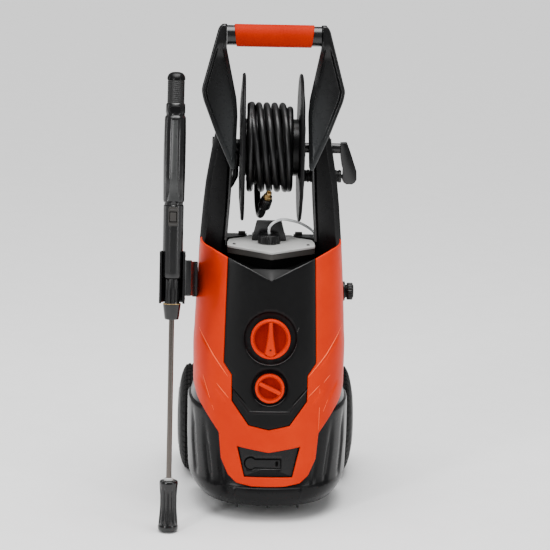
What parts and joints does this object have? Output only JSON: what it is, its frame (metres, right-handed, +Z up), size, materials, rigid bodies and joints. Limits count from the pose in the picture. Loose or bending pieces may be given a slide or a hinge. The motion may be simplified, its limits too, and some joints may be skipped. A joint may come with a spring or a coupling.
{
  "type": "pressure washer",
  "caption": "Upright electric pressure washer with an orange front cover, a hand-cranked hose reel under a pulling handle, two rear wheels, a detergent tank and a spray lance held at its side.",
  "frame": {"origin": "middle of the footprint, on the floor under the wheels and feet", "axes": "+Z up; -Y towards the front cover and control panel, +Y towards the wheels; +X towards the crank and the water inlet, -X towards the spray lance"},
  "size_m": [0.3851, 0.5382, 0.916],
  "materials": {
    "black_plastic": "satin black moulded plastic",
    "orange_plastic": "bright orange moulded plastic, satin to gloss",
    "grey_plastic": "mid-grey moulded plastic",
    "clear_tube": "clear flexible plastic tube",
    "rubber": "black rubber",
    "tyre": "black rubber tyre",
    "hose": "black rubber-covered hose",
    "steel": "bright steel",
    "brass": "turned brass",
    "cast_aluminium": "cast aluminium",
    "painted_steel": "dark painted steel",
    "white_plastic": "off-white moulded plastic"
  },
  "bodies": {
    "machine": {"base_tub": "black_plastic", "cable_gland": "rubber", "capacitor": "white_plastic", "column_left": "black_plastic", "column_right": "black_plastic", "control_panel": "black_plastic", "detergent_tank": "grey_plastic", "detergent_tube": "clear_tube", "dosing_valve": "brass", "foot_left": "rubber", "foot_right": "rubber", "front_cover": "orange_plastic", "grip_sleeve": "orange_plastic", "gun_arm": "black_plastic", "gun_clip": "black_plastic", "handle_bar": "black_plastic", "handle_blade_left": "black_plastic", "handle_blade_right": "black_plastic", "hose_guide": "black_plastic", "inlet_body": "black_plastic", "inlet_hose": "hose", "motor_can": "painted_steel", "pocket_tray": "black_plastic", "pump_body": "cast_aluminium", "rear_housing": "black_plastic", "reel_bush_left": "white_plastic", "reel_bush_right": "white_plastic", "reel_swivel": "brass", "supply_hose": "hose", "switch_box": "white_plastic", "wheel_axle": "steel"},
    "wheel_left": {"tyre_left": "tyre", "hub_left": "black_plastic"},
    "wheel_right": {"tyre_right": "tyre", "hub_right": "black_plastic"},
    "reel": {"reel_drum": "black_plastic", "flange_left": "black_plastic", "flange_right": "black_plastic", "reel_shaft": "steel", "crank_arm": "black_plastic", "hose_coil": "hose", "hose_end": "hose", "hose_nut": "black_plastic", "hose_fitting": "brass"},
    "crank_knuckle": {"crank_knuckle": "black_plastic"},
    "crank_grip": {"crank_grip": "black_plastic"},
    "main_knob": {"main_knob": "orange_plastic"},
    "detergent_knob": {"detergent_knob": "orange_plastic"},
    "tank_cap": {"tank_cap": "black_plastic"},
    "inlet_nut": {"inlet_nut": "black_plastic"},
    "rotor": {"motor_rotor": "steel", "motor_fan": "white_plastic"},
    "gun": {"gun_body": "black_plastic", "lance_tube": "steel"},
    "trigger": {"trigger": "black_plastic"},
    "gun_button": {"gun_button": "black_plastic"},
    "lance_nut": {"lance_nut": "black_plastic"},
    "nozzle": {"nozzle": "black_plastic"}
  },
  "joints": [
    {"name": "wheel_left_spin", "type": "hinge", "parent": "machine", "child": "wheel_left", "pos_m": [-0.1385, 0.162, 0.107], "axis": [1, 0, 0], "continuous": true},
    {"name": "wheel_right_spin", "type": "hinge", "parent": "machine", "child": "wheel_right", "pos_m": [0.1715, 0.162, 0.107], "axis": [1, 0, 0], "continuous": true},
    {"name": "reel_turn", "type": "hinge", "parent": "machine", "child": "reel", "pos_m": [0.0165, 0.052, 0.677], "axis": [1, 0, 0], "range_deg": [0, 180]},
    {"name": "crank_fold", "type": "hinge", "parent": "reel", "child": "crank_knuckle", "pos_m": [0.1677, 0.052, 0.6225], "axis": [0, -1, 0], "range_deg": [0, 180]},
    {"name": "crank_grip_spin", "type": "hinge", "parent": "crank_knuckle", "child": "crank_grip", "pos_m": [0.1677, 0.052, 0.6225], "axis": [1, 0, 0], "continuous": true},
    {"name": "main_knob_turn", "type": "hinge", "parent": "machine", "child": "main_knob", "pos_m": [0.0165, -0.16742, 0.3495], "axis": [0, -0.9927, 0.1204], "range_deg": [-90, 0]},
    {"name": "detergent_knob_turn", "type": "hinge", "parent": "machine", "child": "detergent_knob", "pos_m": [0.0165, -0.17777, 0.2575], "axis": [0, -0.9942, 0.1077], "range_deg": [-180, 0]},
    {"name": "tank_cap_turn", "type": "hinge", "parent": "machine", "child": "tank_cap", "pos_m": [0.0125, -0.054, 0.52], "axis": [0, 0, 1], "range_deg": [0, 360]},
    {"name": "inlet_nut_turn", "type": "hinge", "parent": "machine", "child": "inlet_nut", "pos_m": [0.172, 0.01, 0.404], "axis": [1, 0, 0], "range_deg": [0, 360]},
    {"name": "motor_spin", "type": "hinge", "parent": "machine", "child": "rotor", "pos_m": [0.0165, 0.028, 0.25], "axis": [0, 0, 1], "continuous": true},
    {"name": "gun_out", "type": "slide", "parent": "machine", "child": "gun", "axis": [0, -1, 0], "range_m": [0, 0.15]},
    {"name": "trigger_pull", "type": "hinge", "parent": "gun", "child": "trigger", "pos_m": [-0.16545, -0.14988, 0.66774], "axis": [1, 0, -0.0049], "range_deg": [0, 6], "stiffness_Nm_per_rad": 0.6, "springref_deg": -20.05},
    {"name": "button_press", "type": "slide", "parent": "gun", "child": "gun_button", "axis": [-0.0005, 0.9951, -0.0993], "range_m": [0, 0.0025], "stiffness_N_per_m": 400, "springref_m": -0.002},
    {"name": "lance_nut_turn", "type": "hinge", "parent": "gun", "child": "lance_nut", "pos_m": [-0.16661, -0.20829, 0.42987], "axis": [0.0049, 0.0993, 0.995], "range_deg": [0, 360]},
    {"name": "nozzle_twist", "type": "hinge", "parent": "gun", "child": "nozzle", "pos_m": [-0.16846, -0.24603, 0.05175], "axis": [0.0049, 0.0993, 0.995], "range_deg": [0, 180]}
  ]
}
